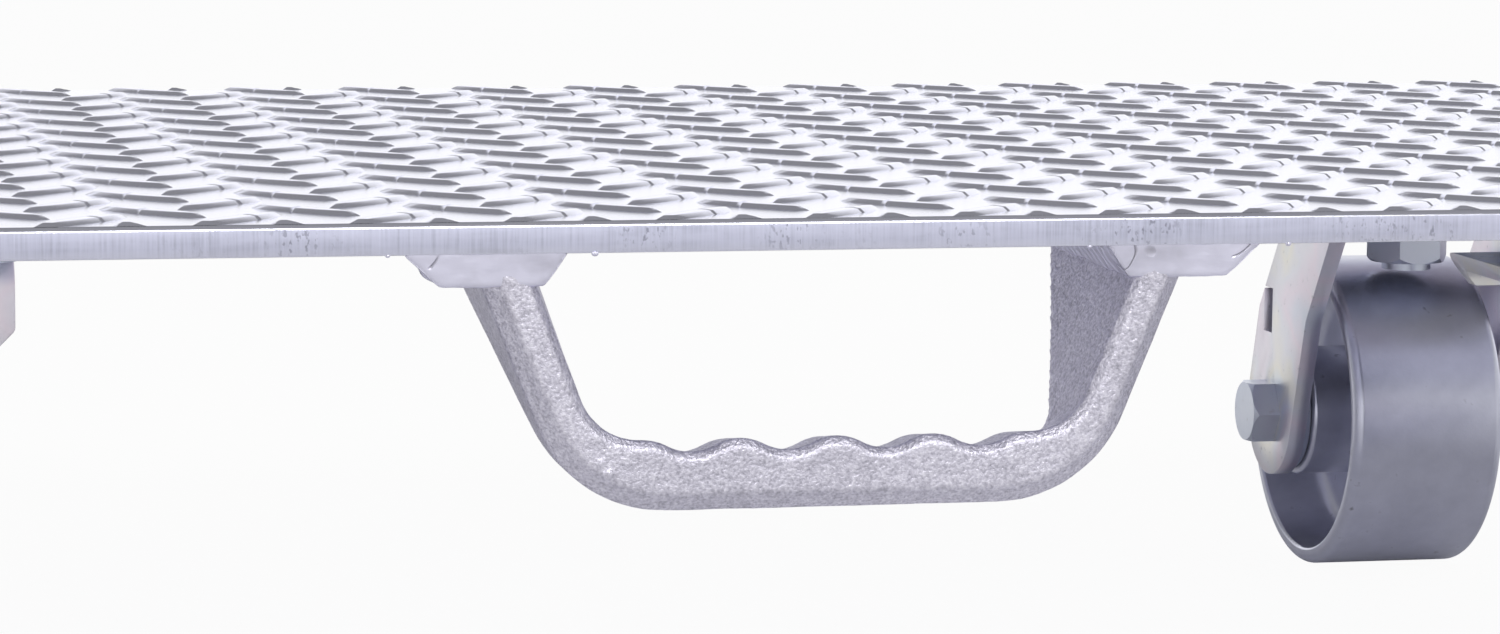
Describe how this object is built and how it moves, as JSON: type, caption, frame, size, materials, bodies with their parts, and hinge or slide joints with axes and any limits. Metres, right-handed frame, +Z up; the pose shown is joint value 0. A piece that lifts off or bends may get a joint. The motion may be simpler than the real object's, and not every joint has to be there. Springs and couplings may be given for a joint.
{
  "type": "plate dolly",
  "caption": "Low dolly with a flat tread-plate deck on swivel and rigid plate casters and a finger-grip lift handle welded under one long edge.",
  "frame": {"origin": "on the floor, under the middle of the deck", "axes": "+X along the deck's long side towards the swivel casters, +Y away from the handle's side, +Z up"},
  "size_m": [0.762, 0.419, 0.1524],
  "materials": {
    "tread_plate": "mill finish, raised lugs, sawn edges",
    "cast_aluminium": "sand cast, grainy",
    "weld_metal": "smooth, rippled weld",
    "zinc_plated_steel": "bright zinc plate",
    "wheel_iron": "smooth grey",
    "bearing_steel": "ground, oiled"
  },
  "bodies": {
    "frame": {"deck_plate": "tread_plate", "cast_handle": "cast_aluminium", "handle_weld_beads": "weld_metal", "mounting_studs": "zinc_plated_steel", "mounting_washers": "zinc_plated_steel", "mounting_nuts": "zinc_plated_steel", "front_right_top_plate": "zinc_plated_steel", "front_right_dust_ring": "zinc_plated_steel", "front_right_race_balls": "bearing_steel", "front_right_lower_balls": "bearing_steel", "front_right_lower_cup": "zinc_plated_steel", "front_right_kingpin": "zinc_plated_steel", "front_right_kingpin_nut": "zinc_plated_steel", "rear_right_top_plate": "zinc_plated_steel", "rear_right_dust_ring": "zinc_plated_steel", "rear_right_race_balls": "bearing_steel", "rear_right_lower_balls": "bearing_steel", "rear_right_lower_cup": "zinc_plated_steel", "rear_right_kingpin": "zinc_plated_steel", "rear_right_kingpin_nut": "zinc_plated_steel", "front_left_top_plate": "zinc_plated_steel", "front_left_fork": "zinc_plated_steel", "front_left_axle_sleeve": "zinc_plated_steel", "front_left_thrust_washers": "zinc_plated_steel", "front_left_axle_bolt": "zinc_plated_steel", "front_left_axle_nut": "zinc_plated_steel", "rear_left_top_plate": "zinc_plated_steel", "rear_left_fork": "zinc_plated_steel", "rear_left_axle_sleeve": "zinc_plated_steel", "rear_left_thrust_washers": "zinc_plated_steel", "rear_left_axle_bolt": "zinc_plated_steel", "rear_left_axle_nut": "zinc_plated_steel"},
    "front_right_swivel": {"front_right_fork": "zinc_plated_steel", "front_right_axle_sleeve": "zinc_plated_steel", "front_right_thrust_washers": "zinc_plated_steel", "front_right_axle_bolt": "zinc_plated_steel", "front_right_axle_nut": "zinc_plated_steel"},
    "rear_right_swivel": {"rear_right_fork": "zinc_plated_steel", "rear_right_axle_sleeve": "zinc_plated_steel", "rear_right_thrust_washers": "zinc_plated_steel", "rear_right_axle_bolt": "zinc_plated_steel", "rear_right_axle_nut": "zinc_plated_steel"},
    "front_right_wheel_body": {"front_right_wheel": "wheel_iron", "front_right_roller_bearing": "bearing_steel"},
    "rear_right_wheel_body": {"rear_right_wheel": "wheel_iron", "rear_right_roller_bearing": "bearing_steel"},
    "front_left_wheel_body": {"front_left_wheel": "wheel_iron", "front_left_roller_bearing": "bearing_steel"},
    "rear_left_wheel_body": {"rear_left_wheel": "wheel_iron", "rear_left_roller_bearing": "bearing_steel"}
  },
  "joints": [
    {"name": "front_right_swivel_turn", "type": "hinge", "parent": "frame", "child": "front_right_swivel", "pos_m": [0.269, -0.10055, 0.12], "axis": [0, 0, 1], "continuous": true},
    {"name": "rear_right_swivel_turn", "type": "hinge", "parent": "frame", "child": "rear_right_swivel", "pos_m": [0.269, 0.10055, 0.12], "axis": [0, 0, 1], "continuous": true},
    {"name": "front_right_wheel_spin", "type": "hinge", "parent": "front_right_swivel", "child": "front_right_wheel_body", "pos_m": [0.294, -0.10055, 0.0508], "axis": [0, 1, 0], "continuous": true},
    {"name": "rear_right_wheel_spin", "type": "hinge", "parent": "rear_right_swivel", "child": "rear_right_wheel_body", "pos_m": [0.269, 0.12555, 0.0508], "axis": [1, 0, 0], "continuous": true},
    {"name": "front_left_wheel_spin", "type": "hinge", "parent": "frame", "child": "front_left_wheel_body", "pos_m": [-0.25435, -0.10055, 0.0508], "axis": [0, 1, 0], "continuous": true},
    {"name": "rear_left_wheel_spin", "type": "hinge", "parent": "frame", "child": "rear_left_wheel_body", "pos_m": [-0.25435, 0.10055, 0.0508], "axis": [0, 1, 0], "continuous": true}
  ]
}
